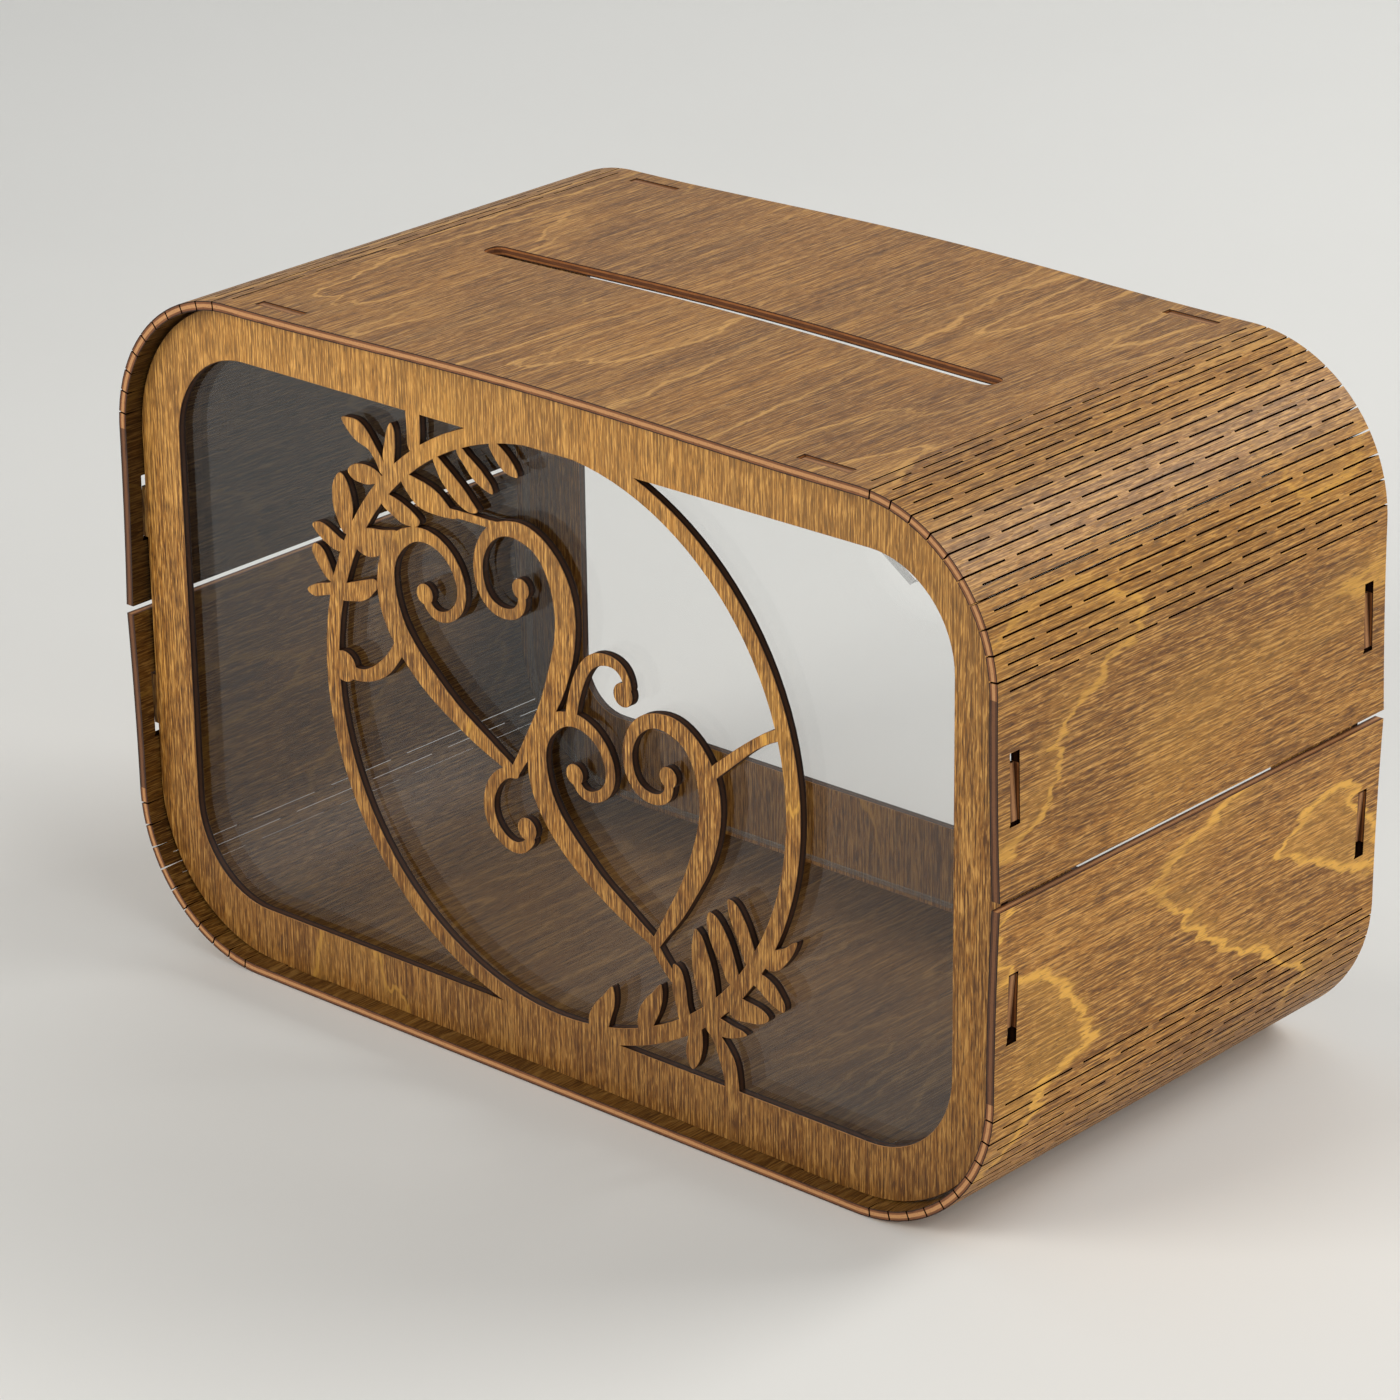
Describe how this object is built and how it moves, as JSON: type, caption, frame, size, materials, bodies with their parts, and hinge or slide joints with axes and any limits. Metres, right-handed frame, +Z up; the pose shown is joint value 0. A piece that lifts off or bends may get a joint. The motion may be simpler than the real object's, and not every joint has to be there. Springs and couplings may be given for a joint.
{
  "type": "wedding card box",
  "caption": "Rectangular stained plywood card box with rounded living-hinge corners, wreath fretwork front over a clear pane, and a card slot in the top.",
  "frame": {"origin": "bottom centre of the box, on the surface it stands on", "axes": "+X along the width to the right as seen from the front, +Y from the front to the back, +Z up"},
  "size_m": [0.345, 0.18, 0.22],
  "materials": {
    "stained_plywood": "stained and oiled, burnt laser-cut edges",
    "clear_pane": "clear polished acrylic"
  },
  "bodies": {
    "case": {"top_panel": "stained_plywood", "bottom_panel": "stained_plywood", "front_panel": "stained_plywood", "back_frame": "stained_plywood", "front_pane": "clear_pane", "back_pane": "clear_pane"},
    "upper_left_hinge_a": {"upper_left_hinge_a": "stained_plywood"},
    "upper_left_hinge_b": {"upper_left_hinge_b": "stained_plywood"},
    "upper_left_side": {"upper_left_side": "stained_plywood"},
    "upper_right_hinge_a": {"upper_right_hinge_a": "stained_plywood"},
    "upper_right_hinge_b": {"upper_right_hinge_b": "stained_plywood"},
    "upper_right_side": {"upper_right_side": "stained_plywood"},
    "lower_left_hinge_a": {"lower_left_hinge_a": "stained_plywood"},
    "lower_left_hinge_b": {"lower_left_hinge_b": "stained_plywood"},
    "lower_left_side": {"lower_left_side": "stained_plywood"},
    "lower_right_hinge_a": {"lower_right_hinge_a": "stained_plywood"},
    "lower_right_hinge_b": {"lower_right_hinge_b": "stained_plywood"},
    "lower_right_side": {"lower_right_side": "stained_plywood"}
  },
  "joints": [
    {"name": "upper_left_flap_open", "type": "hinge", "parent": "case", "child": "upper_left_hinge_a", "pos_m": [-0.13544, 0, 0.2183], "axis": [0, 1, 0], "range_deg": [0, 30]},
    {"name": "upper_left_bend_middle", "type": "hinge", "parent": "upper_left_hinge_a", "child": "upper_left_hinge_b", "pos_m": [-0.15785, 0, 0.20536], "axis": [0, 1, 0], "range_deg": [0, 30]},
    {"name": "upper_left_bend_end", "type": "hinge", "parent": "upper_left_hinge_b", "child": "upper_left_side", "pos_m": [-0.1708, 0, 0.18294], "axis": [0, 1, 0], "range_deg": [0, 30]},
    {"name": "upper_right_flap_open", "type": "hinge", "parent": "case", "child": "upper_right_hinge_a", "pos_m": [0.13544, 0, 0.2183], "axis": [0, -1, 0], "range_deg": [0, 30]},
    {"name": "upper_right_bend_middle", "type": "hinge", "parent": "upper_right_hinge_a", "child": "upper_right_hinge_b", "pos_m": [0.15785, 0, 0.20536], "axis": [0, -1, 0], "range_deg": [0, 30]},
    {"name": "upper_right_bend_end", "type": "hinge", "parent": "upper_right_hinge_b", "child": "upper_right_side", "pos_m": [0.1708, 0, 0.18294], "axis": [0, -1, 0], "range_deg": [0, 30]},
    {"name": "lower_left_flap_open", "type": "hinge", "parent": "case", "child": "lower_left_hinge_a", "pos_m": [-0.13544, 0, 0.0017], "axis": [0, -1, 0], "range_deg": [0, 30]},
    {"name": "lower_left_bend_middle", "type": "hinge", "parent": "lower_left_hinge_a", "child": "lower_left_hinge_b", "pos_m": [-0.15785, 0, 0.01465], "axis": [0, -1, 0], "range_deg": [0, 30]},
    {"name": "lower_left_bend_end", "type": "hinge", "parent": "lower_left_hinge_b", "child": "lower_left_side", "pos_m": [-0.1708, 0, 0.03706], "axis": [0, -1, 0], "range_deg": [0, 30]},
    {"name": "lower_right_flap_open", "type": "hinge", "parent": "case", "child": "lower_right_hinge_a", "pos_m": [0.13544, 0, 0.0017], "axis": [0, 1, 0], "range_deg": [0, 30]},
    {"name": "lower_right_bend_middle", "type": "hinge", "parent": "lower_right_hinge_a", "child": "lower_right_hinge_b", "pos_m": [0.15785, 0, 0.01465], "axis": [0, 1, 0], "range_deg": [0, 30]},
    {"name": "lower_right_bend_end", "type": "hinge", "parent": "lower_right_hinge_b", "child": "lower_right_side", "pos_m": [0.1708, 0, 0.03706], "axis": [0, 1, 0], "range_deg": [0, 30]}
  ],
  "couplings": [
    {"joint": "upper_left_bend_middle", "follows": "upper_left_flap_open", "ratio": 1},
    {"joint": "upper_left_bend_end", "follows": "upper_left_flap_open", "ratio": 1},
    {"joint": "upper_right_bend_middle", "follows": "upper_right_flap_open", "ratio": 1},
    {"joint": "upper_right_bend_end", "follows": "upper_right_flap_open", "ratio": 1},
    {"joint": "lower_left_bend_middle", "follows": "lower_left_flap_open", "ratio": 1},
    {"joint": "lower_left_bend_end", "follows": "lower_left_flap_open", "ratio": 1},
    {"joint": "lower_right_bend_middle", "follows": "lower_right_flap_open", "ratio": 1},
    {"joint": "lower_right_bend_end", "follows": "lower_right_flap_open", "ratio": 1}
  ]
}
